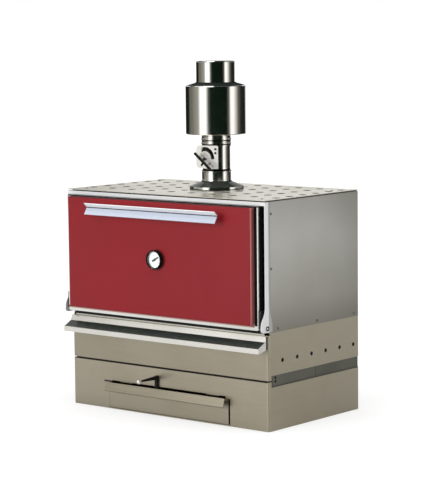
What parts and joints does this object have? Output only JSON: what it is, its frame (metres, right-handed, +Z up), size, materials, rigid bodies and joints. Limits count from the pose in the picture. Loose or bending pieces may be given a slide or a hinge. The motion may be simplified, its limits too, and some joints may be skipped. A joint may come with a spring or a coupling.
{
  "type": "charcoal oven",
  "caption": "Closed charcoal oven of stainless steel with a red drop-down door, ash drawer, air lever, perforated top and a flue with damper and firebreak drum.",
  "frame": {"origin": "centre of the base's underside, on the surface that the oven stands on", "axes": "+X to the right as seen from the front, +Y to the back, +Z up along the flue"},
  "size_m": [0.907, 0.6215, 1.237],
  "materials": {
    "stainless": "fine brushed, warm tint",
    "polished_steel": "bright polished",
    "cover_steel": "light brushed",
    "band_steel": "matt grey",
    "liner_steel": "heat-darkened",
    "red_enamel": "satin enamel",
    "black_steel": "satin black",
    "cast_iron": "rough cast",
    "blanket": "dark fibre blanket",
    "rope": "braided rope",
    "dial_white": "matt white",
    "pointer_black": "matt black",
    "glass": "clear",
    "grip_black": "moulded"
  },
  "bodies": {
    "oven": {"base_floor": "stainless", "base_cabinet": "stainless", "base_deck": "stainless", "rear_panels": "stainless", "drawer_runners": "stainless", "lower_casing": "stainless", "side_skin_right": "stainless", "side_skin_left": "stainless", "drip_ledge": "stainless", "casing_screws": "stainless", "air_grid": "stainless", "ash_chute": "stainless", "side_post_right": "polished_steel", "side_post_left": "polished_steel", "hinge_pins": "polished_steel", "top_rail": "polished_steel", "flue_spigot": "polished_steel", "flue_collar": "polished_steel", "lower_sleeve": "polished_steel", "damper_pipe": "polished_steel", "upper_coupler": "polished_steel", "firebreak_drum": "polished_steel", "outlet_pipe": "polished_steel", "damper_plate": "polished_steel", "top_cover": "cover_steel", "joining_rails": "band_steel", "liner_floor": "liner_steel", "liner_walls": "liner_steel", "liner_roof": "liner_steel", "rack_guides": "liner_steel", "cooking_racks": "liner_steel", "spark_baffle": "liner_steel", "front_frame": "black_steel", "top_frame": "black_steel", "firebox_plates": "cast_iron", "fire_grate": "cast_iron", "insulation": "blanket"},
    "door": {"door_panel": "red_enamel", "door_pan": "polished_steel", "door_insulation": "blanket", "door_liner": "liner_steel", "door_seal": "rope", "hinge_ears": "black_steel", "door_handle": "polished_steel", "handle_standoffs": "polished_steel", "thermometer_case": "black_steel", "thermometer_dial": "dial_white", "thermometer_glass": "glass", "thermometer_stem": "liner_steel"},
    "thermometer_hand": {"thermometer_pointer": "pointer_black"},
    "ash_drawer": {"drawer_front": "stainless", "drawer_tray": "stainless", "drawer_pull": "stainless"},
    "air_control": {"air_shutter": "stainless", "air_lever": "black_steel", "air_knob": "polished_steel"},
    "damper": {"damper_shaft": "polished_steel", "damper_blade": "liner_steel", "damper_lever": "polished_steel", "damper_grip": "grip_black"}
  },
  "joints": [
    {"name": "door_hinge", "type": "hinge", "parent": "oven", "child": "door", "pos_m": [0, -0.266, 0.354], "axis": [1, 0, 0], "range_deg": [0, 90]},
    {"name": "pointer_turn", "type": "hinge", "parent": "door", "child": "thermometer_hand", "pos_m": [0, -0.3172, 0.561], "axis": [0, 1, 0], "range_deg": [-195, 75]},
    {"name": "drawer_slide", "type": "slide", "parent": "oven", "child": "ash_drawer", "axis": [0, -1, 0], "range_m": [0, 0.36]},
    {"name": "air_slide", "type": "slide", "parent": "oven", "child": "air_control", "axis": [1, 0, 0], "range_m": [-0.04, 0.04]},
    {"name": "damper_turn", "type": "hinge", "parent": "oven", "child": "damper", "pos_m": [0, 0.025, 0.893], "axis": [0, 1, 0], "range_deg": [-38, 52]}
  ]
}
